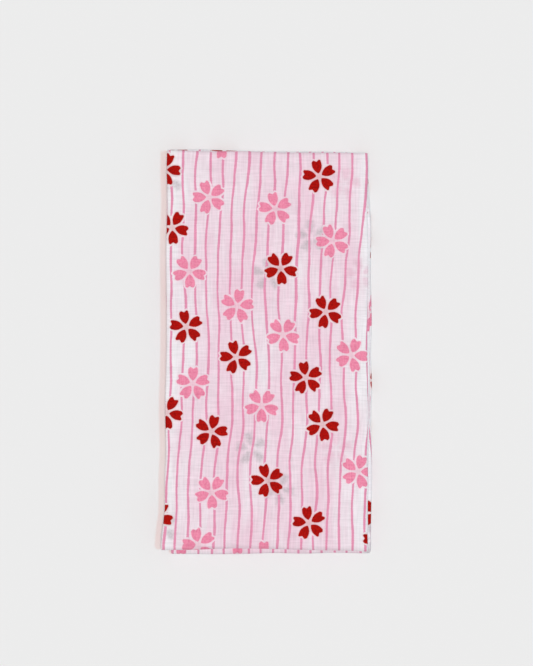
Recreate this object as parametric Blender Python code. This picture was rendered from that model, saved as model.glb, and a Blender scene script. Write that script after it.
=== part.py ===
"""A folded tenugui: one flat-woven cotton cloth, with no hem, lining or label.

The cloth is folded in thirds across its width, into a strip of three plies. The strip is then laid
back and forth in four layers, which makes the stack of twelve plies. The solid is that one cloth,
a closed skin round all of its plies, folds and turns.

Frame: metres, +Z up. The stack lies on the plane z = 0 with its long side along Y, and the origin
is the middle of its base. The printed front looks up, and its upper cut end is at +Y.
"""

import math
from collections import namedtuple

import bpy
from mathutils import Vector

MM = 0.001

# The flat cloth
CLOTH_WIDTH = 335 * MM
CLOTH_LENGTH = 898 * MM
CLOTH_THICKNESS = 1.0 * MM

# The stack: the air between two plies, and the number of times the strip is laid
PLY_GAP = 0.15 * MM
STRIP_COUNT = 4

# The stack is higher in its body than at its pressed rim by this share. Its waist lies lower
# again, and shallow waves run over all of it.
BODY_FULLNESS = 0.06
WAIST_DROP = 0.03
RIM_WIDTH = 11 * MM
RIPPLE = 0.006
RIPPLE_LENGTH = 74 * MM
HALF_WIDTH = 58 * MM
HALF_LENGTH = 113 * MM

# The lines where the strip starts and turns, from its upper cut end down. Each has the y at the
# mean of its two ends, how far it rises from left to right, how far its middle bows upwards, the
# x where the strip's two sides cross it, and how far its two corners are drawn outwards, in
# millimetres. The lower cut end lies where the cloth's length runs out, so it has no y.
Line = namedtuple("Line", "name y rise bow left right left_corner right_corner")
LINES = (
    Line("upper_cut_end", 112.6, -1.7, 0.0, -55.6, 57.3, 0.0, 0.0),
    Line("first_fold", -112.4, -0.9, 1.3, -56.9, 57.3, 2.1, 0.0),
    Line("second_fold", 113.3, -2.0, 0.0, -55.8, 59.2, 0.0, -2.1),
    Line("third_fold", -114.0, 0.7, 0.0, -53.9, 59.5, 0.0, 0.0),
    Line("lower_cut_end", None, -0.5, 0.0, -55.0, 59.0, 0.0, -2.0),
)

# The share of a strip's length over which a drawn corner dies away
LEFT_REACH = 0.13
RIGHT_REACH = 0.2

# How far each strip's two sides bow to the right between its lines, in millimetres
Bow = namedtuple("Bow", "left right")
BOWS = (Bow(0.0, 0.2), Bow(0.3, 0.3), Bow(-0.4, 0.2), Bow(0.3, -0.3))

# How finely the skin is divided
PANEL_STEPS = (0.0, 0.04, 0.12, 0.3, 0.5, 0.7, 0.88, 0.96, 1.0)
STRIP_STEPS = (0.0, 0.03, 0.09, 0.17, 0.3, 0.5, 0.7, 0.83, 0.91, 0.97, 1.0)
LEFT_FOLD_SIDES = 5
RIGHT_FOLD_SIDES = 7
TURN_SIDES = 8

CLOTH_COLOUR = (0.88, 0.76, 0.83, 1.0)
CLOTH_ROUGHNESS = 0.9

# From the middle of one ply, or of one strip, to the middle of the next
PLY_PITCH = CLOTH_THICKNESS + PLY_GAP
STRIP_PITCH = 3 * PLY_PITCH

# The radii of the folds and turns, each to the middle of its ply
LEFT_FOLD_RADIUS = PLY_PITCH / 2
RIGHT_FOLD_RADIUS = PLY_PITCH
TURN_RADIUS = STRIP_PITCH / 2
TURN_REACH = TURN_RADIUS + PLY_PITCH + CLOTH_THICKNESS / 2


def blend(start, end, share):
    return start + (end - start) * share


def smooth(share):
    """0 up to 0, 1 from 1, and an even S between."""
    share = min(max(share, 0.0), 1.0)
    return share * share * (3 - 2 * share)


def drawn(share, reach, at_start, at_end):
    """How far a side is drawn outwards by its two corners, this share of the way down it."""
    near_start, near_end = 1 - smooth(share / reach), 1 - smooth((1 - share) / reach)
    return at_start * near_start + at_end * near_end


def strip_sides(strip, share):
    """The x of a strip's left and right side, this share of the way down it."""
    start, end, bow = LINES[strip], LINES[strip + 1], BOWS[strip]
    swell = 4 * share * (1 - share)
    left = blend(start.left, end.left, share) + bow.left * swell
    left -= drawn(share, LEFT_REACH, start.left_corner, end.left_corner)
    right = blend(start.right, end.right, share) + bow.right * swell
    right += drawn(share, RIGHT_REACH, start.right_corner, end.right_corner)
    return left * MM, right * MM


def line_y(line, x):
    """The y of a fold line or of the upper cut end at this x."""
    across = x / ((line.right - line.left) * MM)
    return (line.y + line.rise * across + line.bow * (1 - 4 * across * across)) * MM


def turn_middle_y(number, x):
    """The y about which the strip turns at a fold line."""
    line = LINES[number]
    inwards = -1 if line.y > 0 else 1
    return line_y(line, x) + inwards * TURN_REACH


def lower_cut_end_y(x):
    """Where the last strip ends, once the other strips and the turns have had their cloth."""
    starts = [line_y(LINES[0], 0)] + [turn_middle_y(number, 0) for number in (1, 2, 3)]
    strips = sum(abs(start - end) for start, end in zip(starts, starts[1:]))
    turns = 3 * math.pi * TURN_RADIUS
    line = LINES[-1]
    slope = line.rise / (line.right - line.left)
    return starts[-1] + CLOTH_LENGTH - strips - turns + slope * x


def strip_middle_z(strip):
    """The height of a strip's middle ply, before the stack's own unevenness."""
    lowest = PLY_PITCH + CLOTH_THICKNESS / 2
    return lowest + (STRIP_COUNT - 1 - strip) * STRIP_PITCH


def front_side(strip):
    """+1 where the printed front of the strip looks up, -1 where it looks down."""
    return 1 if strip % 2 == 0 else -1


def fullness(x, y):
    """How high the stack is at a place, as a share of its height at its pressed rim."""
    near_side = smooth((abs(x) - HALF_WIDTH + RIM_WIDTH) / RIM_WIDTH)
    near_end = smooth((abs(y) - HALF_LENGTH + RIM_WIDTH) / RIM_WIDTH)
    body = 1 - max(near_side, near_end)
    waist = 1 - smooth(abs(y) / (0.7 * HALF_LENGTH))
    wave_across = math.sin(math.tau * (x + 0.6 * y) / RIPPLE_LENGTH)
    wave_along = math.cos(math.tau * y / (2.3 * RIPPLE_LENGTH))
    return 1 + body * (BODY_FULLNESS - WAIST_DROP * waist + RIPPLE * wave_across * wave_along)


def across_strip(run, share, offset, left, right):
    """The (x, height above the middle ply) of a place on the strip's section.

    The section runs from the inner flap's selvage to the left fold, over the front panel to the
    right fold, and under both to the back flap's selvage. The offset is from the middle of the
    ply towards the cloth's printed side.
    """
    inner_left = left + CLOTH_THICKNESS / 2 + LEFT_FOLD_RADIUS
    inner_right = right - CLOTH_THICKNESS / 2 - RIGHT_FOLD_RADIUS
    in_folds = math.pi * (LEFT_FOLD_RADIUS + RIGHT_FOLD_RADIUS)
    flap = (CLOTH_WIDTH - (inner_right - inner_left) - in_folds) / 2
    angle = math.pi * share
    if run == "inner_flap":
        return blend(inner_left + flap, inner_left, share), -offset
    if run == "left_fold":
        radius = LEFT_FOLD_RADIUS + offset
        return inner_left - radius * math.sin(angle), LEFT_FOLD_RADIUS - radius * math.cos(angle)
    if run == "front":
        return blend(inner_left, inner_right, share), PLY_PITCH + offset
    if run == "right_fold":
        radius = RIGHT_FOLD_RADIUS + offset
        return inner_right + radius * math.sin(angle), radius * math.cos(angle)
    return blend(inner_right, inner_right - flap, share), -PLY_PITCH - offset


def along_strip(run, number, share, x, height):
    """The (y, z) of a place on the strip's back-and-forth way."""
    if run == "turn":
        # Turn 1 joins strip 0 to strip 1, and so on
        outwards = 1 if LINES[number].y > 0 else -1
        radius = TURN_RADIUS + front_side(number - 1) * height
        angle = math.pi * share
        middle_z = (strip_middle_z(number - 1) + strip_middle_z(number)) / 2
        y = turn_middle_y(number, x) + outwards * radius * math.sin(angle)
        return y, middle_z + radius * math.cos(angle)
    start = line_y(LINES[0], x) if number == 0 else turn_middle_y(number, x)
    is_last = number == STRIP_COUNT - 1
    end = lower_cut_end_y(x) if is_last else turn_middle_y(number + 1, x)
    return blend(start, end, share), strip_middle_z(number) + front_side(number) * height


def skin_point(section, length, offset):
    """The place in space of a point of the cloth's skin."""
    run, number, share = length
    left, right = strip_sides(number, 0.0 if run == "turn" else share)
    x, height = across_strip(*section, offset, left, right)
    y, z = along_strip(run, number, share, x, height)
    return Vector((x, y, z * fullness(x, y)))


def section_stations():
    """The places across the strip, from selvage to selvage."""
    stations = [("inner_flap", share) for share in PANEL_STEPS]
    stations += [("left_fold", side / LEFT_FOLD_SIDES) for side in range(1, LEFT_FOLD_SIDES)]
    stations += [("front", share) for share in PANEL_STEPS]
    stations += [("right_fold", side / RIGHT_FOLD_SIDES) for side in range(1, RIGHT_FOLD_SIDES)]
    stations += [("back_flap", share) for share in PANEL_STEPS]
    return stations


def length_stations():
    """The places along the strip, from cut end to cut end."""
    stations = []
    for strip in range(STRIP_COUNT):
        if strip > 0:
            stations += [("turn", strip, side / TURN_SIDES) for side in range(1, TURN_SIDES)]
        stations += [("strip", strip, share) for share in STRIP_STEPS]
    return stations


def cloth_skin():
    """The closed mesh: a ring of points round the strip's section at each place along it."""
    sections, lengths = section_stations(), length_stations()
    half = CLOTH_THICKNESS / 2
    points = []
    for length in lengths:
        points += [skin_point(section, length, half) for section in sections]
        points += [skin_point(section, length, -half) for section in reversed(sections)]

    ring = 2 * len(sections)
    faces = []
    for row in range(len(lengths) - 1):
        here, there = row * ring, (row + 1) * ring
        for column in range(ring):
            following = (column + 1) % ring
            faces.append((here + column, there + column, there + following, here + following))
    last = (len(lengths) - 1) * ring
    for column in range(len(sections) - 1):
        opposite = ring - 1 - column
        cut_end = (column, column + 1, opposite - 1, opposite)
        faces.append(cut_end)
        faces.append(tuple(last + corner for corner in reversed(cut_end)))

    mesh = bpy.data.meshes.new("tenugui_cloth")
    mesh.from_pydata(centred(points), [], faces)
    mesh.update()
    return mesh


def centred(points):
    """The points, moved so that the middle of their box's base is the origin."""
    low = Vector(map(min, *points))
    high = Vector(map(max, *points))
    base = Vector(((low.x + high.x) / 2, (low.y + high.y) / 2, low.z))
    return [point - base for point in points]


def cotton():
    """Bleached cotton with its pink print, at the print's mean colour."""
    material = bpy.data.materials.new("printed_cotton")
    material.use_nodes = True
    shader = material.node_tree.nodes["Principled BSDF"]
    shader.inputs["Base Color"].default_value = CLOTH_COLOUR
    shader.inputs["Roughness"].default_value = CLOTH_ROUGHNESS
    shader.inputs["Metallic"].default_value = 0.0
    material.diffuse_color = CLOTH_COLOUR
    return material


def clear_scene():
    for thing in list(bpy.data.objects):
        bpy.data.objects.remove(thing)


def build():
    clear_scene()
    cloth = bpy.data.objects.new("tenugui_cloth", cloth_skin())
    bpy.context.scene.collection.objects.link(cloth)
    cloth.data.materials.append(cotton())


build()
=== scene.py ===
"""A folded tenugui, seen from straight above on a pale floor.

The cloth is one thin sheet on the folds of its CAD solid. It is worked out ply by ply and turn by
turn, and every point knows its place on the flat cloth, so the print runs over the folds. The
print is drawn by the material: wavering stripes, and blossoms from a short chart.

The cloth is worked out in millimetres. The floor, the lamps and the camera are in metres.
"""

import math
from collections import namedtuple

import bpy
import numpy as np
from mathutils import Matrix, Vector


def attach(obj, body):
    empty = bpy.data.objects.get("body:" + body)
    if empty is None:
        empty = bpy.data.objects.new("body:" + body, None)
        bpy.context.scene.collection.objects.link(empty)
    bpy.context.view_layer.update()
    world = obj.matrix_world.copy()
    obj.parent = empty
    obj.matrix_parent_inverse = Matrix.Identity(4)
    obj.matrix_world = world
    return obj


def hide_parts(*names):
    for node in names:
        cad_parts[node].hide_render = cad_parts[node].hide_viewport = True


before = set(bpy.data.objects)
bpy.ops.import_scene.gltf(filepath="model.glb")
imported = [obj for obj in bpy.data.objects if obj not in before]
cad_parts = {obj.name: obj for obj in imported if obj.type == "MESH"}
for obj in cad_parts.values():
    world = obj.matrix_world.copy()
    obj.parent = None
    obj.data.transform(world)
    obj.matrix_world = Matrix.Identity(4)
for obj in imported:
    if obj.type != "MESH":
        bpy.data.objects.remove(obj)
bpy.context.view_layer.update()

MM = 0.001

# The flat cloth
CLOTH_WIDTH = 335.0
CLOTH_LENGTH = 898.0
CLOTH_THICKNESS = 0.6

# The stack. The solid's outermost plies fix its height, and the thinner cloth fills it with looser
# plies.
STACK_HEIGHT = 13.65
STRIP_COUNT = 4
PLY_PITCH = (STACK_HEIGHT - CLOTH_THICKNESS) / (3 * STRIP_COUNT - 1)
STRIP_PITCH = 3 * PLY_PITCH
LEFT_FOLD_RADIUS = PLY_PITCH / 2
RIGHT_FOLD_RADIUS = PLY_PITCH
TURN_RADIUS = STRIP_PITCH / 2
LEFT_FOLD_LENGTH = math.pi * LEFT_FOLD_RADIUS
RIGHT_FOLD_LENGTH = math.pi * RIGHT_FOLD_RADIUS
TURN_LENGTH = math.pi * TURN_RADIUS
TURN_REACH = TURN_RADIUS + PLY_PITCH + CLOTH_THICKNESS / 2
HALF_WIDTH = 58.0
HALF_LENGTH = 113.0

# The stack is fuller in its body than at its pressed rim, and a little lower again at its waist,
# as in the solid. The waist's reach is a share of the half length.
BODY_FULLNESS = 0.06
RIM_WIDTH = 11.0
WAIST_DROP = 0.03
WAIST_REACH = 0.7

# The faint ripple of the body: its height as a share, the lengths of its waves across the stack
# and along it, and how far the first ones lean
RIPPLE = 0.006
RIPPLE_LENGTH = 74.0
RIPPLE_LENGTH_ALONG = 2.3 * RIPPLE_LENGTH
RIPPLE_LEAN = 0.6

# The lines where the strip starts and turns, as in the solid: the y at the mean of its ends, the
# rise from left to right, the bow of its middle, the x of the strip's two sides, and how far its
# two corners are drawn outwards. The cloth's length gives the lower cut end its y.
Line = namedtuple("Line", "name y rise bow left right left_corner right_corner")
LINES = (
    Line("upper_cut_end", 112.6, -1.7, 0.0, -55.6, 57.3, 0.0, 0.0),
    Line("first_fold", -112.4, -0.9, 1.3, -56.9, 57.3, 2.1, 0.0),
    Line("second_fold", 113.3, -2.0, 0.0, -55.8, 59.2, 0.0, -2.1),
    Line("third_fold", -114.0, 0.7, 0.0, -53.9, 59.5, 0.0, 0.0),
    Line("lower_cut_end", None, -0.5, 0.0, -55.0, 59.0, 0.0, -2.0),
)

# The share of a strip's length over which a drawn corner dies away
LEFT_REACH = 0.13
RIGHT_REACH = 0.2

# How far each strip's two sides bow to the right between its lines
Bow = namedtuple("Bow", "left right")
BOWS = (Bow(0.0, 0.2), Bow(0.3, 0.3), Bow(-0.4, 0.2), Bow(0.3, -0.3))

# Soft troughs (below 0) and ridges (above 0) in the plies: the middle, the direction in degrees
# from +X, the half length, the half width, and the height at the top of the stack
Crease = namedtuple("Crease", "x y direction half_length half_width height")
CREASES = (
    Crease(-30, 36, 2, 70, 5.0, -0.16),
    Crease(24, 35, -3, 60, 6.0, 0.14),
    Crease(10, -40, 1, 80, 5.5, -0.16),
    Crease(-44, 92, 62, 26, 5.0, 0.18),
    Crease(40, -88, 58, 30, 6.0, 0.20),
    Crease(-20, -98, 101, 22, 5.0, -0.14),
    Crease(46, 60, 97, 40, 4.5, 0.15),
    Crease(-8, 70, 84, 34, 7.0, -0.12),
)

# The power of the height by which the creases grow from the floor to the top
CREASE_GROWTH = 1.5

# How far the folded sides, the ends and the plies' heights waver, and the height above the floor
# from which the plies do so in full
SIDE_WAVER = 0.3
END_WAVER = 0.22
PLY_WAVER = 0.14
FREE_HEIGHT = 2.5

# The lengths of the waves in these wavers, and how strongly the slow ones shift the quick ones.
# Each pair of the plies' waves is across the cloth and down it.
SLOW_WAVE = 190.0
SIDE_WAVE = 57.0
SIDE_SHIFT = 1.7
SIDE_CHANGE = 240.0
END_WAVE = 49.0
END_SLOW_WAVE = 131.0
END_SHIFT = 1.4
PLY_WAVES = (61.0, 137.0)
PLY_CROSS_WAVES = (173.0, 71.0)
PLY_CROSS_SHIFT = 0.8

# How many faces each part of the cloth has, across the strip and along it, and how much closer
# together they lie near its ends
FLAP_FACES = 20
LEFT_FOLD_FACES = 8
FRONT_FACES = 50
RIGHT_FOLD_FACES = 12
TOP_STRIP_FACES = 84
LOWER_STRIP_FACES = 44
TURN_FACES = 12
CLOSENESS = 0.28

# The chart of blossoms as seen from above: the strip, 0 for the top one, the colour, the middle,
# and where one petal points, in degrees from +X. Those past the stack's rim run on over the fold.
Blossom = namedtuple("Blossom", "strip colour x y petal")
FRONT_BLOSSOMS = (
    Blossom(0, "pink", -24.8, 118.3, 270),
    Blossom(0, "red", -57.0, 102.6, 68),
    Blossom(0, "red", 29.9, 98.9, 102),
    Blossom(0, "pink", -32.2, 87.2, 108),
    Blossom(0, "pink", 5.2, 80.6, 102),
    Blossom(0, "red", -52.8, 69.9, 61),
    Blossom(0, "pink", 37.4, 62.5, 111),
    Blossom(0, "red", 8.4, 47.0, 131),
    Blossom(0, "pink", -42.9, 45.6, 128),
    Blossom(0, "pink", -16.3, 25.9, 80),
    Blossom(0, "red", 33.8, 22.5, 115),
    Blossom(0, "red", -45.1, 14.1, 100),
    Blossom(0, "pink", 9.6, 9.6, 130),
    Blossom(0, "pink", 48.4, -1.7, 70),
    Blossom(0, "red", -16.9, -2.8, 105),
    Blossom(0, "red", 22.5, -14.6, 100),
    Blossom(0, "pink", -41.1, -18.0, 90),
    Blossom(0, "pink", -2.3, -30.4, 270),
    Blossom(0, "red", -55.8, -34.4, 274),
    Blossom(0, "red", 31.8, -41.1, 65),
    Blossom(0, "red", -30.8, -44.8, 75),
    Blossom(0, "pink", 51.8, -67.6, 0),
    Blossom(0, "red", 1.0, -72.3, 108),
    Blossom(0, "pink", -30.4, -78.8, 128),
    Blossom(0, "red", -61.9, -93.6, 60),
    Blossom(0, "red", 24.3, -96.1, 103),
    Blossom(0, "red", 63.9, -105.9, 180),
    Blossom(0, "pink", -37.8, -108.3, 105),
    Blossom(0, "pink", -1.1, -116.0, 90),
)

# Those of the lower strips, of which only a sliver shows at the stack's rim. The first ones are on
# the strip's front panel, and the others on its back flap at the turn above it.
LOWER_BLOSSOMS = (
    Blossom(2, "red", 63.0, -90.7, 144),
    Blossom(2, "pink", -48.2, -104.5, 270),
    Blossom(2, "pink", -16.3, -103.8, 270),
    Blossom(2, "pink", 19.0, -98.0, 60),
    Blossom(1, "red", 69.8, 80.0, 180),
)
TURN_BLOSSOMS = (
    Blossom(2, "red", -23.4, -5.5, 54),
    Blossom(2, "red", 54.0, -8.2, 90),
)

# The front chart is repeated over the rest of the cloth at these distances. Each repeat along it
# slips a little sideways, and each one's petals are turned, in radians.
REPEATS_ALONG = range(-1, 5)
REPEATS_ACROSS = (0, -1, 1)
REPEAT_ALONG = 243.0
REPEAT_ACROSS = 128.0
REPEAT_SLIP = 11.0
REPEAT_TURN_ALONG = 0.7
REPEAT_TURN_ACROSS = 0.4

# A repeat is left out where its middle is further than this from the cloth, or nearer than this
# to a blossom already there
BLOSSOM_OVERHANG = 10.0
BLOSSOM_SPACING = 21.0

# Blossoms of the plies below, seen faintly through the front panels. The grey one on strip 2 is
# no blossom but painted shade, which darkens the lower plies' sliver at the stack's lower right
# rim.
GHOSTS_AND_PAINTED_SHADE = (
    Blossom(0, "grey", -55.2, 98.0, 320),
    Blossom(0, "grey", 25.8, 65.2, 170),
    Blossom(0, "grey", 1.1, 43.4, 20),
    Blossom(0, "grey", -8.5, -54.5, 100),
    Blossom(0, "grey", 7.3, -76.6, 60),
    Blossom(0, "grey", -58.8, -99.6, 40),
    # Painted shade: a grey patch on the lower plies' rim at the stack's lower right
    Blossom(2, "grey", 61.0, -105.0, 36),
    Blossom(0, "rose", 39.5, -55.0, 90),
    Blossom(0, "rose", 53.0, 43.5, 30),
    Blossom(0, "rose", 44.0, 94.5, 80),
)

# The petals: where they start and end from the blossom's middle, their half width, and where they
# are widest, as a share of their length. Their sides swell as a power of a cosine, which goes on
# past the widest place by the taper, in radians. The notch in the end lies a little to one side.
PETAL_COUNT = 5
PETAL_START = 1.7
PETAL_END = 9.2
PETAL_HALF_WIDTH = 2.72
PETAL_WIDEST = 0.62
PETAL_TAPER = 0.5
PETAL_ROUNDNESS = 0.75
NOTCH_DEPTH = 0.9
NOTCH_HALF_WIDTH = 1.45
NOTCH_OFFSET = 0.2
SHOULDER_ROUNDNESS = 0.5

# The stripes: how far apart they are, where the first one right of the cloth's middle line runs,
# their width, and how far they keep from the petals
STRIPE_PITCH = 6.99
STRIPE_START = 0.79
STRIPE_WIDTH = 1.3
HALO = 1.05

# How far the stripes waver: neighbours alike, each by itself, and by the unsteady hand. The last
# two also change their half width.
ALIKE_WAVER = 4.0
OWN_WAVER = 3.6
HAND_WAVER = 0.35
OWN_WIDENING = 0.5
HAND_WIDENING = 0.3

# How far the stripes sway to the right, going down the cloth from start to end: at the front
# panel's left rim, just inside it, and at its right side, and how much further they sway about the
# bulge line. The first row fans them out at the upper cut end, and the second brings them back.
Sway = namedtuple("Sway", "start end rim left right bulge")
SWAYS = (
    Sway(-20, -10, 0.0, 0.0, 5.4, 0.0),
    Sway(5, 90, 0.0, 0.0, -5.4, 0.0),
    Sway(14, 38, 0.0, 0.0, 0.0, -2.7),
    Sway(85, 135, 0.0, 0.0, 0.0, 2.7),
    Sway(150, 178, -1.2, -3.8, -1.3, 0.0),
    Sway(180, 215, 0.3, 1.1, 0.2, 0.0),
    Sway(198, 220, -1.9, 0.0, 0.0, 0.0),
    Sway(235, 300, -1.1, -1.2, -1.6, 0.0),
    Sway(560, 640, 3.0, 3.0, 3.0, 0.0),
)

# The rim's sway holds up to the first of these distances from it, and ends at the second
RIM_SWAY_HOLDS = 1.0
RIM_SWAY_ENDS = 8.0

# The bulge line lies so far to the right of the cloth's middle line, and its sway dies away over
# this distance to both sides
BULGE_LINE = -9.0
BULGE_REACH = 31.0

# The noises of the print and the threads: the spots to the millimetre across the cloth (for the
# stripes' wavers, to the stripe) and down it, the layer that makes each pattern its own, and the
# detail
Grain = namedtuple("Grain", "across down layer detail")
WARP = Grain(1.05, 1 / 13, 0.0, 1.0)
WEFT = Grain(1 / 11, 1.05, 3.0, 1.0)
PATCHES = Grain(1 / 17, 1 / 46, 5.0, 2.0)
STREAKS = Grain(1 / 3.2, 1 / 34, 7.0, 2.0)
GHOST_EDGE = Grain(0.35, 0.35, 8.0, 2.0)
GHOST_GRAIN = Grain(0.9, 0.9, 11.0, 1.0)
STRIPES_ALIKE = Grain(0.31, 1 / 62, 4.0, 1.0)
STRIPES_OWN = Grain(5.7, 1 / 34, 9.0, 1.0)
STRIPES_HAND = Grain(9.3, 1 / 5, 2.0, 1.0)
STRIPE_EDGE = Grain(2.2, 2.2, 1.0, 0.0)
PETAL_EDGE = Grain(1.8, 1.8, 6.0, 1.0)
DYE = Grain(0.5, 0.5, 2.0, 3.0)
FLECKS = Grain(1.0, 1.0, 13.0, 1.0)

# The edges of the stripes, petals and halos: how uneven they are, and how soft. Near the blossom's
# middle the halo is whole up to the first distance and ends at the second.
STRIPE_UNEVENNESS = 0.3
STRIPE_SOFTNESS = 0.16
PETAL_UNEVENNESS = 0.35
PETAL_SOFTNESS = 0.14
HALO_SOFTNESS = 0.15
HALO_MIDDLE = (2.6, 3.0)
HALO_STRENGTH = 0.3

# The dye that has bled out of the petals. Beside them it grows from the first place to the second,
# both measured inwards from a petal's outline. More is added near the blossom's middle: it ends
# between two distances from the middle, and grows between two places outside the outline.
BLED_AT_EDGES = 0.33
BLED_EDGE = (-1.3, 0.3)
BLED_NEAR_MIDDLE = 0.2
BLED_MIDDLE = (2.0, 6.0)
BLED_OUTSIDE = (-1.7, -0.9)
BLED_MOST = 0.36

# The ghosts and the patch of painted shade: how uneven their edges are, the places outside and
# inside a petal's outline between which they grow, how grainy they are and how strong
GHOST_UNEVENNESS = 3.0
GHOST_GROWTH = (-1.3, 2.2)
GHOST_GRAININESS = 1.3
GHOST_STRENGTH = 0.6

# How much the petals' dye changes in clouds, in flecks and with the threads, about its middle
DYE_CHANGE = 0.4
FLECK_CHANGE = 1.9
THREAD_CHANGE = 0.25
DYE_MIDDLE = 0.5

# The ground: how patchy, streaky and rosy it is, and the levels at which it is white and rosy
PATCHINESS = 1.05
STREAKINESS = 0.5
ROSINESS = 0.65
WHITE_LEVEL = 0.05
ROSY_LEVEL = 1.0

# The rosy ground pales towards the panel's sides: from this far from the cloth's middle line to
# this far, and how much
Pale = namedtuple("Pale", "start end share")
PALES = (Pale(36.0, 58.0, 0.3), Pale(50.0, 56.0, 0.25))

# The cloth's surface: the length after which the weave repeats, what the threads and the weave
# change, and how it shines
WEAVE_REPEAT = 0.52
THREAD_LIGHTNESS = 0.26
WEAVE_LIGHTNESS = 0.02
THREAD_RELIEF = 0.9
WEAVE_RELIEF = 0.5
RELIEF_STRENGTH = 0.35
RELIEF_HEIGHT = 0.12
ROUGHNESS = 0.88
THREAD_ROUGHNESS = 0.12
SHEEN = 0.25
SHEEN_ROUGHNESS = 0.3
SPECULAR_LEVEL = 0.05

# Colours in linear light. The petals' dye runs from the first of its two to the second.
WHITE_GROUND = (0.826, 0.80, 0.832, 1)
ROSY_GROUND = (0.808, 0.58, 0.68, 1)
HALO_GROUND = (0.845, 0.78, 0.83, 1)
ROSE_GHOST = (0.76, 0.50, 0.60, 1)
# The grey of the ghosts also paints the shade on the lower plies' rim at the lower right
GREY_GHOST_AND_PAINTED_SHADE = (0.47, 0.42, 0.45, 1)
STRIPE_PINK = (0.745, 0.285, 0.43, 1)
BLED_PINK = (0.80, 0.25, 0.38, 1)
BLED_RED = (0.62, 0.12, 0.10, 1)
PETAL_PINKS = (0.77, 0.19, 0.325, 1), (0.84, 0.305, 0.43, 1)
PETAL_REDS = (0.27, 0.004, 0.003, 1), (0.49, 0.007, 0.004, 1)

# The floor
FLOOR_COLOUR = (0.80, 0.80, 0.80, 1)
FLOOR_ROUGHNESS = 0.9
FLOOR_REACH = 6.0

# The light that the floor gets: all of it, the part from all around, and the red, green and blue
# of the cool key. A lamp's width is in degrees.
WHOLE_LIGHT = 1.048
LIGHT_AROUND = 0.42
KEY_LIGHT = (0.03, 0.16, 0.185)
KEY_WIDTH = 4
KEY_DIRECTION = (1.0, 0.0, 3.4)
ABOVE_WIDTH = 12
ABOVE_DIRECTION = (0.0, 0.0, 1.0)

# The photo's size and the place of the cloth's middle in it, in pixels, and a pixel's size
PHOTO_WIDTH = 533
PHOTO_HEIGHT = 666
CLOTH_IN_PHOTO = (266.4, 352)
PIXEL = 0.5632 * MM
CAMERA_HEIGHT = 3.0
SENSOR = 36.0


def blend(start, end, share):
    """The value this share of the way from the start to the end."""
    return start + (end - start) * share


def smooth(share):
    """An even S from 0 to 1."""
    share = min(max(share, 0.0), 1.0)
    return share * share * (3 - 2 * share)


# The folded sheet


def drawn(share, reach, at_start, at_end):
    """How far a side is drawn outwards by its two corners, this share of the way down it."""
    near_start, near_end = 1 - smooth(share / reach), 1 - smooth((1 - share) / reach)
    return at_start * near_start + at_end * near_end


def strip_sides(strip, share):
    """The x of a strip's left and right side, this share of the way down it."""
    start, end, bow = LINES[strip], LINES[strip + 1], BOWS[strip]
    swell = 4 * share * (1 - share)
    left = blend(start.left, end.left, share) + bow.left * swell
    left -= drawn(share, LEFT_REACH, start.left_corner, end.left_corner)
    right = blend(start.right, end.right, share) + bow.right * swell
    right += drawn(share, RIGHT_REACH, start.right_corner, end.right_corner)
    return left, right


def line_y(line, x):
    """The y of a fold line or of the upper cut end at this x."""
    across = x / (line.right - line.left)
    return line.y + line.rise * across + line.bow * (1 - 4 * across * across)


def turn_middle_y(number, x):
    """The y about which the strip turns at a fold line."""
    line = LINES[number]
    inwards = -1 if line.y > 0 else 1
    return line_y(line, x) + inwards * TURN_REACH


def strip_runs():
    """For each strip, the length of cloth before it and its own length."""
    runs, used = [], 0.0
    for strip in range(STRIP_COUNT):
        start = line_y(LINES[0], 0) if strip == 0 else turn_middle_y(strip, 0)
        if strip == STRIP_COUNT - 1:
            length = CLOTH_LENGTH - used
        else:
            length = abs(turn_middle_y(strip + 1, 0) - start)
        runs.append((used, length))
        used += length + TURN_LENGTH
    return runs


STRIP_RUNS = strip_runs()


def strip_end_y(strip, x):
    """The y where a strip's flat run ends."""
    if strip < STRIP_COUNT - 1:
        return turn_middle_y(strip + 1, x)
    line = LINES[-1]
    slope = line.rise / (line.right - line.left)
    return turn_middle_y(strip, 0) + STRIP_RUNS[-1][1] + slope * x


def strip_start_y(strip, x):
    """The y where a strip's flat run starts."""
    return line_y(LINES[0], x) if strip == 0 else turn_middle_y(strip, x)


def strip_middle_z(strip):
    """The height of a strip's middle ply, before the stack's own unevenness."""
    lowest = PLY_PITCH + CLOTH_THICKNESS / 2
    return lowest + (STRIP_COUNT - 1 - strip) * STRIP_PITCH


def front_side(strip):
    """+1 where the printed front of the strip looks up, -1 where it looks down."""
    return 1 if strip % 2 == 0 else -1


def fullness(x, y):
    """How high the stack is at a place, as a share of its height at its pressed rim."""
    near_side = smooth((abs(x) - HALF_WIDTH + RIM_WIDTH) / RIM_WIDTH)
    near_end = smooth((abs(y) - HALF_LENGTH + RIM_WIDTH) / RIM_WIDTH)
    body = 1 - max(near_side, near_end)
    waist = 1 - smooth(abs(y) / (WAIST_REACH * HALF_LENGTH))
    wave_across = math.sin(math.tau * (x + RIPPLE_LEAN * y) / RIPPLE_LENGTH)
    wave_along = math.cos(math.tau * y / RIPPLE_LENGTH_ALONG)
    return 1 + body * (BODY_FULLNESS - WAIST_DROP * waist + RIPPLE * wave_across * wave_along)


def crease_height(x, y):
    """The height that the soft creases add at the top of the stack."""
    height = 0.0
    for crease in CREASES:
        angle = math.radians(crease.direction)
        dx, dy = x - crease.x, y - crease.y
        along = (dx * math.cos(angle) + dy * math.sin(angle)) / crease.half_length
        across = (dy * math.cos(angle) - dx * math.sin(angle)) / crease.half_width
        height += crease.height * math.exp(-2 * along * along - 2 * across * across)
    return height


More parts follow.
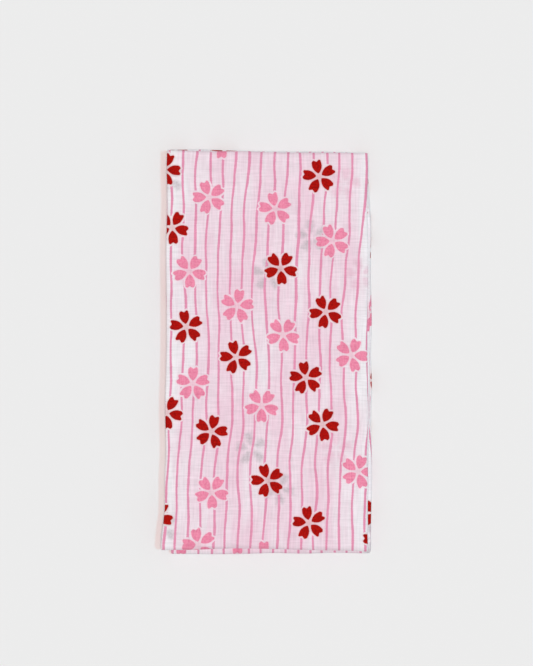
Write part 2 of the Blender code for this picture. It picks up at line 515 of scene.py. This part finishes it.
def softness(over, down, z):
    """Small shifts along x, y and z, so that the plies don't lie like boards."""
    slow = math.tau * down / SLOW_WAVE
    side = math.sin(math.tau * down / SIDE_WAVE + SIDE_SHIFT * math.sin(slow))
    side_change = math.cos(math.tau * over / SIDE_CHANGE)
    end_shift = END_SHIFT * math.sin(math.tau * over / END_SLOW_WAVE + slow)
    end = math.sin(math.tau * over / END_WAVE + end_shift)
    ply = math.sin(math.tau * (over / PLY_WAVES[0] + down / PLY_WAVES[1]))
    cross = math.tau * (down / PLY_CROSS_WAVES[1] - over / PLY_CROSS_WAVES[0])
    ply_change = math.cos(cross + PLY_CROSS_SHIFT) * smooth(z / FREE_HEIGHT)
    return SIDE_WAVER * side * side_change, END_WAVER * end, PLY_WAVER * ply * ply_change


def panel_measures(left, right):
    """The x where the front panel starts and ends, and the length of a flap."""
    inner_left = left + CLOTH_THICKNESS / 2 + LEFT_FOLD_RADIUS
    inner_right = right - CLOTH_THICKNESS / 2 - RIGHT_FOLD_RADIUS
    in_folds = LEFT_FOLD_LENGTH + RIGHT_FOLD_LENGTH
    flap = (CLOTH_WIDTH - (inner_right - inner_left) - in_folds) / 2
    return inner_left, inner_right, flap


def across_strip(run, share, offset, left, right):
    """The (x, height above the middle ply, distance from the inner flap's selvage) of a place on
    the strip's section. The offset is from the middle of the ply to the printed side."""
    inner_left, inner_right, flap = panel_measures(left, right)
    front = inner_right - inner_left
    angle = math.pi * share
    if run == "inner_flap":
        return blend(inner_left + flap, inner_left, share), -offset, flap * share
    if run == "left_fold":
        radius = LEFT_FOLD_RADIUS + offset
        x = inner_left - radius * math.sin(angle)
        height = LEFT_FOLD_RADIUS - radius * math.cos(angle)
        return x, height, flap + LEFT_FOLD_LENGTH * share
    if run == "front":
        x = blend(inner_left, inner_right, share)
        return x, PLY_PITCH + offset, flap + LEFT_FOLD_LENGTH + front * share
    if run == "right_fold":
        radius = RIGHT_FOLD_RADIUS + offset
        x, height = inner_right + radius * math.sin(angle), radius * math.cos(angle)
        return x, height, flap + LEFT_FOLD_LENGTH + front + RIGHT_FOLD_LENGTH * share
    x = blend(inner_right, inner_right - flap, share)
    return x, -PLY_PITCH - offset, CLOTH_WIDTH - flap * (1 - share)


def along_strip(run, number, share, x, height):
    """The (y, z, distance from the upper cut end) of a place on the back-and-forth way."""
    if run == "turn":
        # Turn 1 joins strip 0 to strip 1, and so on
        outwards = 1 if LINES[number].y > 0 else -1
        radius = TURN_RADIUS + front_side(number - 1) * height
        angle = math.pi * share
        middle_z = (strip_middle_z(number - 1) + strip_middle_z(number)) / 2
        y = turn_middle_y(number, x) + outwards * radius * math.sin(angle)
        used = STRIP_RUNS[number][0] - TURN_LENGTH * (1 - share)
        return y, middle_z + radius * math.cos(angle), used
    y = blend(strip_start_y(number, x), strip_end_y(number, x), share)
    used, length = STRIP_RUNS[number]
    return y, strip_middle_z(number) + front_side(number) * height, used + length * share


def pinched(count):
    """Shares from 0 to 1, closer together near both ends."""
    evenly = [step / count for step in range(count + 1)]
    return [blend(share, smooth(share), CLOSENESS) for share in evenly]


def sides(count):
    """The shares at the corners of a fold or turn, without its two ends."""
    return [side / count for side in range(1, count)]


def section_stations():
    """The places across the strip, from selvage to selvage."""
    stations = [("inner_flap", share) for share in pinched(FLAP_FACES)]
    stations += [("left_fold", share) for share in sides(LEFT_FOLD_FACES)]
    stations += [("front", share) for share in pinched(FRONT_FACES)]
    stations += [("right_fold", share) for share in sides(RIGHT_FOLD_FACES)]
    stations += [("back_flap", share) for share in pinched(FLAP_FACES)]
    return stations


def length_stations():
    """The places along the strip, from cut end to cut end."""
    stations = []
    for strip in range(STRIP_COUNT):
        if strip > 0:
            stations += [("turn", strip, share) for share in sides(TURN_FACES)]
        count = TOP_STRIP_FACES if strip == 0 else LOWER_STRIP_FACES
        stations += [("strip", strip, share) for share in pinched(count)]
    return stations


def sheet_row(length, sections, offset):
    """The points of one side of the cloth at one place along it, each with its flat place."""
    run, number, share = length
    left, right = strip_sides(number, 0.0 if run == "turn" else share)
    row = []
    for section in sections:
        x, height, over = across_strip(*section, offset, left, right)
        y, z, down = along_strip(run, number, share, x, height)
        dx, dy, dz = softness(over, down, z)
        creased = crease_height(x, y) * (z / STACK_HEIGHT) ** CREASE_GROWTH
        row.append((x + dx, y + dy, z * fullness(x, y) + creased + dz, over, down))
    return row


def centred(points):
    """The points in metres, with the middle of their box above the origin, as the solid has it."""
    middle = (points.min(0) + points.max(0)) / 2
    return (points - (middle[0], middle[1], 0.0)) * MM


def make_sheet():
    """The closed mesh of the cloth, its faces, and for each point its flat place and whether it
    is on the back."""
    sections, lengths = section_stations(), length_stations()
    half = CLOTH_THICKNESS / 2
    rows = []
    for length in lengths:
        rows.append(sheet_row(length, sections, half) + sheet_row(length, sections, -half)[::-1])
    grid = np.array(rows)
    ring, count = len(rows[0]), len(rows)

    faces = []
    for row in range(count - 1):
        here, there = row * ring, (row + 1) * ring
        for column in range(ring):
            following = (column + 1) % ring
            faces.append((here + column, there + column, there + following, here + following))
    last = (count - 1) * ring
    for column in range(len(sections) - 1):
        opposite = ring - 1 - column
        cut_end = (column, column + 1, opposite - 1, opposite)
        faces.append(cut_end)
        faces.append(tuple(last + corner for corner in reversed(cut_end)))

    places = grid.reshape(-1, 5)
    mesh = bpy.data.meshes.new("tenugui")
    mesh.from_pydata(centred(places[:, :3]).tolist(), [], faces)
    mesh.update()
    mesh.shade_smooth()
    flat = places[:, 3:]
    is_back = np.tile(np.arange(ring) >= len(sections), count)
    return mesh, np.array(faces), flat, is_back


# The print's places on the flat cloth


def flat_place(strip, x, y):
    """The flat place of a point of a strip's front panel, or of the panel carried on past it."""
    start, end = strip_start_y(strip, x), strip_end_y(strip, x)
    share = (start - y) / (start - end)
    left, right = strip_sides(strip, min(max(share, 0.0), 1.0))
    inner_left, _, flap = panel_measures(left, right)
    used, length = STRIP_RUNS[strip]
    return flap + LEFT_FOLD_LENGTH + x - inner_left, used + length * share


def turn_place(strip, x, y):
    """The flat place of a point of the back flap at the middle of the turn above a strip, and y
    further up."""
    _, inner_right, flap = panel_measures(*strip_sides(strip, 0.0))
    return CLOTH_WIDTH - flap + inner_right - x, STRIP_RUNS[strip][0] - TURN_LENGTH / 2 - y


def placed(blossoms, find_place=flat_place):
    """Rows of the flat place, the petal's direction on the flat cloth, and the colour's number."""
    numbers = {"pink": 0, "red": 1, "rose": 0, "grey": 1}
    rows = []
    for blossom in blossoms:
        over, down = find_place(blossom.strip, blossom.x, blossom.y)
        # On the flat cloth the second direction runs down, away from +Y
        rows.append((over, down, -math.radians(blossom.petal), numbers[blossom.colour]))
    return rows


def on_cloth(over, down):
    """Whether some of a blossom whose middle is at this flat place can be on the cloth."""
    over_it = -BLOSSOM_OVERHANG < over < CLOTH_WIDTH + BLOSSOM_OVERHANG
    return over_it and -BLOSSOM_OVERHANG < down < CLOTH_LENGTH + BLOSSOM_OVERHANG


def whole_print():
    """The charted blossoms, and their repeats wherever they have room."""
    front = placed(FRONT_BLOSSOMS)
    rows = front + placed(LOWER_BLOSSOMS) + placed(TURN_BLOSSOMS, turn_place)
    for along in REPEATS_ALONG:
        for across in REPEATS_ACROSS:
            sideways = across * REPEAT_ACROSS + along * REPEAT_SLIP
            turn = along * REPEAT_TURN_ALONG + across * REPEAT_TURN_ACROSS
            for over, down, petal, colour in front:
                over, down = over + sideways, down + along * REPEAT_ALONG
                clear = min(math.hypot(over - row[0], down - row[1]) for row in rows)
                if on_cloth(over, down) and clear > BLOSSOM_SPACING:
                    rows.append((over, down, petal + turn, colour))
    return rows


def add_layer(mesh, name, values):
    """Gives the mesh a UV layer with these two values for each corner of its faces."""
    layer = mesh.uv_layers.new(name=name)
    layer.uv.foreach_set("vector", np.asarray(values, np.float32).ravel())


def add_blossom_layer(mesh, faces, corners, name, blossoms):
    """Each face's place about the blossom nearest to it, and that blossom's colour."""
    rows = np.array(blossoms)
    corners = corners.reshape(len(faces), 4, 2)
    gaps = ((corners.mean(1)[:, None, :] - rows[None, :, :2]) ** 2).sum(2)
    nearest = rows[gaps.argmin(1)]
    away = corners - nearest[:, None, :2]
    turn = -nearest[:, 2, None]
    u = away[:, :, 0] * np.cos(turn) - away[:, :, 1] * np.sin(turn)
    v = away[:, :, 0] * np.sin(turn) + away[:, :, 1] * np.cos(turn)
    add_layer(mesh, name, np.stack([u, v], 2).reshape(-1, 2))
    colour = mesh.attributes.new(name + "Colour", "FLOAT", "FACE")
    colour.data.foreach_set("value", nearest[:, 3].astype(np.float32))


def add_bake_layer(mesh, faces, flat, is_back):
    """The printed side and the back of the cloth side by side in the unit square."""
    margin, width, tiny = 0.01, 0.47, 1e-6
    over = flat[:, 0] / CLOTH_WIDTH
    down = margin + (1 - 2 * margin) * flat[:, 1] / CLOTH_LENGTH
    across = np.where(is_back, 1 - margin - width * over, margin + width * over)
    corner = np.stack([across, 1 - down], 1)[faces]

    # The narrow faces between them: those of one selvage fill the gap between the two halves, and
    # those of the other lie left of the printed half
    rim = is_back[faces].any(1) & ~is_back[faces].all(1)
    at_start = rim & (over[faces] < tiny).all(1)
    corner[at_start, :, 0] = np.where(is_back[faces[at_start]], 0.0, margin)

    # Those of the cut ends lie above and below the printed half
    cut = rim & (np.ptp(over[faces], axis=1) > tiny)
    corner[cut, :, 0] = margin + width * over[faces[cut]]
    edge = np.where(flat[faces[cut], 1] < CLOTH_LENGTH / 2, 1.0, 0.0)
    inner = np.where(edge > 0.5, 1 - margin, margin)
    corner[cut, :, 1] = np.where(is_back[faces[cut]], edge, inner)
    add_layer(mesh, "OFBake", corner.reshape(-1, 2))


# The material


class Nodes:
    """Short ways to add nodes to a material. A value is a number or another node's output."""

    def __init__(self, material):
        self.tree = material.node_tree
        self.shader = self.tree.nodes["Principled BSDF"]

    def connect(self, value, socket):
        """Links a node's output to the socket, or sets the socket to a value of its own."""
        if isinstance(value, bpy.types.NodeSocket):
            self.tree.links.new(value, socket)
        else:
            socket.default_value = value

    def add(self, kind, inputs=(), output=0, **settings):
        """Adds a node with these inputs, by name or in their order, and gives one output."""
        node = self.tree.nodes.new("ShaderNode" + kind)
        for name, setting in settings.items():
            setattr(node, name, setting)
        named = inputs.items() if isinstance(inputs, dict) else enumerate(inputs)
        for name, value in named:
            self.connect(value, node.inputs[name])
        return node.outputs[output]

    def math(self, operation, *values):
        return self.add("Math", values, operation=operation)

    def sum(self, first, *others):
        for other in others:
            first = self.math("ADD", first, other)
        return first

    def scaled(self, value, factor, offset=0.0):
        return self.math("MULTIPLY_ADD", value, factor, offset)

    def step(self, value, low, high):
        """0 up to low, 1 from high, and an even S between."""
        inputs = {"Value": value, "From Min": low, "From Max": high}
        return self.add("MapRange", inputs, interpolation_type="SMOOTHSTEP")

    def complement(self, value):
        return self.math("SUBTRACT", 1.0, value)

    def vector(self, x, y, z):
        return self.add("CombineXYZ", (x, y, z))

    def noise(self, grain, over, down):
        """Noise of this grain about 0, mostly between -0.5 and 0.5."""
        across, along = self.scaled(over, grain.across), self.scaled(down, grain.down)
        place = self.vector(across, along, grain.layer)
        inputs = {"Vector": place, "Scale": 1.0, "Detail": grain.detail}
        return self.math("SUBTRACT", self.add("TexNoise", inputs, output="Fac"), 0.5)

    def mix(self, factor, first, second):
        """A colour between two. The node's sockets for colours go by these numbers."""
        return self.add("Mix", {0: factor, 6: first, 7: second}, output=2, data_type="RGBA")

    def uv(self, name):
        """The two coordinates of a UV layer."""
        apart = self.tree.nodes.new("ShaderNodeSeparateXYZ")
        self.connect(self.add("UVMap", uv_map=name), apart.inputs[0])
        return apart.outputs[0], apart.outputs[1]

    def attribute(self, name):
        return self.add("Attribute", output="Fac", attribute_name=name)


def petal_gap(nodes, u, v, notch_depth):
    """How far a place lies inside the nearest petal's outline, in millimetres, below 0 outside.
    Also the same with the petal carried on to the middle, and the distance from the middle."""
    sector = math.tau / PETAL_COUNT
    squares = nodes.sum(nodes.math("MULTIPLY", u, u), nodes.math("MULTIPLY", v, v))
    radius = nodes.math("SQRT", squares)
    angle = nodes.math("ARCTAN2", v, u)
    petal = nodes.scaled(nodes.math("ROUND", nodes.math("DIVIDE", angle, sector)), sector)
    off_axis = nodes.math("SUBTRACT", angle, petal)
    along = nodes.math("MULTIPLY", radius, nodes.math("COSINE", off_axis))
    across = nodes.math("MULTIPLY", radius, nodes.math("SINE", off_axis))

    # The sides swell as a cosine, which runs on more slowly past the widest place
    length = PETAL_END - PETAL_START
    share = nodes.scaled(along, 1 / length, -PETAL_START / length)
    share = nodes.math("MINIMUM", nodes.math("MAXIMUM", share, 0.0), 1.0)
    towards = nodes.scaled(share, -math.pi / 2 / PETAL_WIDEST, math.pi / 2)
    taper = PETAL_TAPER / (1 - PETAL_WIDEST)
    beyond = nodes.scaled(share, taper, -taper * PETAL_WIDEST)
    from_widest = nodes.math("MAXIMUM", towards, beyond)
    swelling = nodes.math("MAXIMUM", nodes.math("COSINE", from_widest), 0.0)
    half_width = nodes.scaled(nodes.math("POWER", swelling, PETAL_ROUNDNESS), PETAL_HALF_WIDTH)
    from_side = nodes.math("SUBTRACT", half_width, nodes.math("ABSOLUTE", across))

    # The end has two lobes, with a notch between them and a round shoulder outside each
    from_notch = nodes.math("ABSOLUTE", nodes.sum(across, -NOTCH_OFFSET))
    from_lobe = nodes.sum(from_notch, -NOTCH_HALF_WIDTH)
    notch = nodes.scaled(from_lobe, -notch_depth / NOTCH_HALF_WIDTH)
    notch = nodes.math("MAXIMUM", notch, 0.0)
    shoulder = nodes.math("POWER", nodes.math("MAXIMUM", from_lobe, 0.0), 2.0)
    cut = nodes.sum(notch, nodes.scaled(shoulder, SHOULDER_ROUNDNESS))
    from_end = nodes.math("SUBTRACT", nodes.math("SUBTRACT", PETAL_END, cut), along)
    carried_on = nodes.math("MINIMUM", from_side, from_end)
    inside = nodes.math("MINIMUM", carried_on, nodes.sum(along, -PETAL_START))
    return inside, carried_on, radius


def stripe_sway(nodes, over, down):
    """How far to the right of their even places the stripes run."""
    middle = CLOTH_WIDTH / 2
    left_rim, right_side = middle - HALF_WIDTH, middle + HALF_WIDTH
    span = {"Value": over, "From Min": left_rim, "From Max": right_side}
    to_right = nodes.add("MapRange", span)
    off_rim = nodes.step(over, left_rim + RIM_SWAY_HOLDS, left_rim + RIM_SWAY_ENDS)
    at_rim = nodes.complement(off_rim)
    from_line = nodes.math("ABSOLUTE", nodes.sum(over, -middle - BULGE_LINE))
    at_line = nodes.complement(nodes.step(from_line, 0.0, BULGE_REACH))
    whole = 0.0
    for sway in SWAYS:
        here = nodes.scaled(to_right, sway.right - sway.left, sway.left)
        at_rim_more = nodes.scaled(at_rim, sway.rim - sway.left)
        here = nodes.sum(here, at_rim_more, nodes.scaled(at_line, sway.bulge))
        swayed = nodes.step(down, sway.start, sway.end)
        whole = nodes.sum(whole, nodes.math("MULTIPLY", here, swayed))
    return whole


def stripes(nodes, over, down):
    """How strongly a place is covered by a wavering stripe."""
    straight = nodes.math("SUBTRACT", over, stripe_sway(nodes, over, down))
    straight = nodes.sum(straight, -STRIPE_START - CLOTH_WIDTH / 2)
    number = nodes.math("ROUND", nodes.math("DIVIDE", straight, STRIPE_PITCH))
    from_middle = nodes.math("SUBTRACT", straight, nodes.scaled(number, STRIPE_PITCH))

    alike = nodes.noise(STRIPES_ALIKE, number, down)
    own = nodes.noise(STRIPES_OWN, number, down)
    hand = nodes.noise(STRIPES_HAND, number, down)
    waver = nodes.sum(nodes.scaled(alike, ALIKE_WAVER), nodes.scaled(own, OWN_WAVER))
    waver = nodes.sum(waver, nodes.scaled(hand, HAND_WAVER))
    half_width = nodes.sum(nodes.scaled(own, OWN_WIDENING), nodes.scaled(hand, HAND_WIDENING))
    half_width = nodes.sum(half_width, STRIPE_WIDTH / 2)

    gap = nodes.math("ABSOLUTE", nodes.math("SUBTRACT", from_middle, waver))
    uneven = nodes.scaled(nodes.noise(STRIPE_EDGE, over, down), STRIPE_UNEVENNESS)
    inside = nodes.sum(nodes.math("SUBTRACT", half_width, gap), uneven)
    return nodes.step(inside, -STRIPE_SOFTNESS, STRIPE_SOFTNESS)


def unprinted(nodes, over, down):
    """The white ground, with the pink of the plies below in soft streaks."""
    patches = nodes.scaled(nodes.noise(PATCHES, over, down), PATCHINESS)
    streaks = nodes.scaled(nodes.noise(STREAKS, over, down), STREAKINESS)
    rosy = nodes.sum(patches, streaks)
    from_middle = nodes.math("ABSOLUTE", nodes.sum(over, -CLOTH_WIDTH / 2))
    for pale in PALES:
        paler = nodes.step(from_middle, pale.start, pale.end)
        rosy = nodes.sum(rosy, nodes.scaled(paler, -pale.share))
    rosy = nodes.step(nodes.sum(rosy, ROSINESS), WHITE_LEVEL, ROSY_LEVEL)
    return nodes.mix(rosy, WHITE_GROUND, ROSY_GROUND)


def with_ghosts_and_painted_shade(nodes, ground, over, down):
    """The ground with the blurred blossoms of the plies below, and painted shade on a lower ply's
    rim.
    """
    u, v = nodes.uv("GhostAndPaintedShade")
    inside, _, _ = petal_gap(nodes, u, v, 0.0)
    uneven = nodes.scaled(nodes.noise(GHOST_EDGE, over, down), GHOST_UNEVENNESS)
    ghost_and_painted_shade = nodes.step(nodes.sum(inside, uneven), *GHOST_GROWTH)
    grain = nodes.scaled(nodes.noise(GHOST_GRAIN, over, down), GHOST_GRAININESS, 1.0)
    ghost_and_painted_shade = nodes.math("MULTIPLY", ghost_and_painted_shade, grain)
    colour = nodes.mix(nodes.attribute("GhostAndPaintedShadeColour"), ROSE_GHOST, GREY_GHOST_AND_PAINTED_SHADE)
    return nodes.mix(nodes.scaled(ghost_and_painted_shade, GHOST_STRENGTH), ground, colour)


def bled(nodes, inside, carried_on, radius):
    """How strongly the petals' dye has bled into the ground: past their edges, and more of it
    near the blossom's middle."""
    at_edges = nodes.scaled(nodes.step(carried_on, *BLED_EDGE), BLED_AT_EDGES)
    off_middle = nodes.step(radius, *BLED_MIDDLE)
    near_middle = nodes.scaled(off_middle, -BLED_NEAR_MIDDLE, BLED_NEAR_MIDDLE)
    near_petals = nodes.step(inside, *BLED_OUTSIDE)
    both = nodes.sum(at_edges, nodes.math("MULTIPLY", near_middle, near_petals))
    return nodes.math("MINIMUM", both, BLED_MOST)


def printed(nodes, ground, threads, over, down):
    """The ground with its stripes, which stop short of the blossoms, and with the blossoms."""
    u, v = nodes.uv("Blossom")
    inside, carried_on, radius = petal_gap(nodes, u, v, NOTCH_DEPTH)
    near_petal = nodes.step(carried_on, -HALO - HALO_SOFTNESS, -HALO + HALO_SOFTNESS)
    near_middle = nodes.complement(nodes.step(radius, *HALO_MIDDLE))
    halo = nodes.math("MAXIMUM", near_petal, near_middle)
    stripe = nodes.math("MULTIPLY", stripes(nodes, over, down), nodes.complement(halo))

    is_red = nodes.attribute("BlossomColour")
    ground = nodes.mix(nodes.scaled(halo, HALO_STRENGTH), ground, HALO_GROUND)
    bled_dye = nodes.mix(is_red, BLED_PINK, BLED_RED)
    ground = nodes.mix(bled(nodes, inside, carried_on, radius), ground, bled_dye)
    ground = nodes.mix(stripe, ground, STRIPE_PINK)

    uneven = nodes.scaled(nodes.noise(PETAL_EDGE, over, down), PETAL_UNEVENNESS)
    petal = nodes.step(nodes.sum(inside, uneven), -PETAL_SOFTNESS, PETAL_SOFTNESS)
    dye = nodes.scaled(nodes.noise(DYE, over, down), DYE_CHANGE)
    flecks = nodes.scaled(nodes.noise(FLECKS, over, down), FLECK_CHANGE)
    shade = nodes.sum(dye, flecks, nodes.scaled(threads, THREAD_CHANGE), DYE_MIDDLE)
    pink, red = nodes.mix(shade, *PETAL_PINKS), nodes.mix(shade, *PETAL_REDS)
    return nodes.mix(petal, ground, nodes.mix(is_red, pink, red))


def cotton():
    """Plain-woven cotton with its print, a faint trace of the plies below, and a patch of painted
    shade.
    """
    material = bpy.data.materials.new("printed_cotton")
    material.use_nodes = True
    nodes = Nodes(material)
    over, down = nodes.uv("Cloth")

    # The threads: fine slubs along both directions, and the weave itself
    threads = nodes.sum(nodes.noise(WARP, over, down), nodes.noise(WEFT, over, down))
    across = nodes.math("SINE", nodes.scaled(over, math.tau / WEAVE_REPEAT))
    along = nodes.math("SINE", nodes.scaled(down, math.tau / WEAVE_REPEAT))
    weave = nodes.math("MULTIPLY", across, along)

    # The print, which the threads make a little lighter and darker all over
    ground = with_ghosts_and_painted_shade(nodes, unprinted(nodes, over, down), over, down)
    colour = printed(nodes, ground, threads, over, down)
    weave_lightness = nodes.scaled(weave, WEAVE_LIGHTNESS)
    lightness = nodes.sum(nodes.scaled(threads, THREAD_LIGHTNESS), weave_lightness, 1.0)
    lightness = nodes.vector(lightness, lightness, lightness)
    colour = nodes.add("VectorMath", (colour, lightness), operation="MULTIPLY")

    # The surface
    height = nodes.sum(nodes.scaled(weave, WEAVE_RELIEF), nodes.scaled(threads, THREAD_RELIEF))
    relief = {"Strength": RELIEF_STRENGTH, "Distance": RELIEF_HEIGHT * MM, "Height": height}
    inputs = nodes.shader.inputs
    nodes.connect(colour, inputs["Base Color"])
    nodes.connect(nodes.scaled(threads, THREAD_ROUGHNESS, ROUGHNESS), inputs["Roughness"])
    nodes.connect(nodes.add("Bump", relief), inputs["Normal"])
    inputs["Sheen Weight"].default_value = SHEEN
    inputs["Sheen Roughness"].default_value = SHEEN_ROUGHNESS
    inputs["Specular IOR Level"].default_value = SPECULAR_LEVEL
    return material


def make_cloth():
    """The folded cloth, in place of the solid."""
    mesh, faces, flat, is_back = make_sheet()
    corners = flat[faces].reshape(-1, 2)
    add_layer(mesh, "Cloth", corners)
    add_blossom_layer(mesh, faces, corners, "Blossom", whole_print())
    add_blossom_layer(mesh, faces, corners, "GhostAndPaintedShade", placed(GHOSTS_AND_PAINTED_SHADE))
    add_bake_layer(mesh, faces, flat, is_back)
    cloth = bpy.data.objects.new("tenugui", mesh)
    bpy.context.scene.collection.objects.link(cloth)
    mesh.materials.append(cotton())
    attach(cloth, "root")
    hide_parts("tenugui_cloth")


# The floor, the light and the camera


def make_floor():
    """A pale, even floor under the cloth."""
    material = bpy.data.materials.new("floor")
    material.use_nodes = True
    shader = material.node_tree.nodes["Principled BSDF"]
    shader.inputs["Base Color"].default_value = FLOOR_COLOUR
    shader.inputs["Roughness"].default_value = FLOOR_ROUGHNESS

    mesh = bpy.data.meshes.new("floor")
    corners = [(-1, -1), (1, -1), (1, 1), (-1, 1)]
    points = [(x * FLOOR_REACH, y * FLOOR_REACH, 0) for x, y in corners]
    mesh.from_pydata(points, [], [(0, 1, 2, 3)])
    mesh.materials.append(material)
    floor = bpy.data.objects.new("floor", mesh)
    bpy.context.scene.collection.objects.link(floor)


def make_sun(name, share, width, direction):
    """A far lamp that gives the floor this much of its red, green and blue light."""
    towards = Vector(direction)
    lamp = bpy.data.lights.new(name, "SUN")
    lamp.color = [part / max(share) for part in share]
    lamp.energy = math.pi * max(share) / towards.normalized().z
    lamp.angle = math.radians(width)
    sun = bpy.data.objects.new(name, lamp)
    sun.rotation_mode = "QUATERNION"
    sun.rotation_quaternion = towards.to_track_quat("Z", "Y")
    bpy.context.scene.collection.objects.link(sun)


def make_light():
    """Even light from above and around, and a weak cool key from the right, which leaves a warm
    shade to the left."""
    world = bpy.data.worlds.new("studio")
    world.use_nodes = True
    background = world.node_tree.nodes["Background"]
    background.inputs["Color"].default_value = (1.0, 1.0, 1.0, 1)
    background.inputs["Strength"].default_value = LIGHT_AROUND
    bpy.context.scene.world = world
    from_above = [WHOLE_LIGHT - LIGHT_AROUND - part for part in KEY_LIGHT]
    make_sun("key", KEY_LIGHT, KEY_WIDTH, KEY_DIRECTION)
    make_sun("above", from_above, ABOVE_WIDTH, ABOVE_DIRECTION)


def make_camera():
    """Straight down, as a camera looks that isn't turned. It sees the photo's frame."""
    lens = bpy.data.cameras.new("camera")
    lens.sensor_width = SENSOR
    lens.lens = SENSOR * CAMERA_HEIGHT / (PHOTO_HEIGHT * PIXEL)
    camera = bpy.data.objects.new("camera", lens)
    x = (PHOTO_WIDTH / 2 - CLOTH_IN_PHOTO[0]) * PIXEL
    y = (CLOTH_IN_PHOTO[1] - PHOTO_HEIGHT / 2) * PIXEL
    camera.location = (x, y, STACK_HEIGHT * MM + CAMERA_HEIGHT)
    bpy.context.scene.collection.objects.link(camera)
    bpy.context.scene.camera = camera


make_cloth()
make_floor()
make_light()
make_camera()
bpy.context.scene.view_settings.view_transform = "Standard"
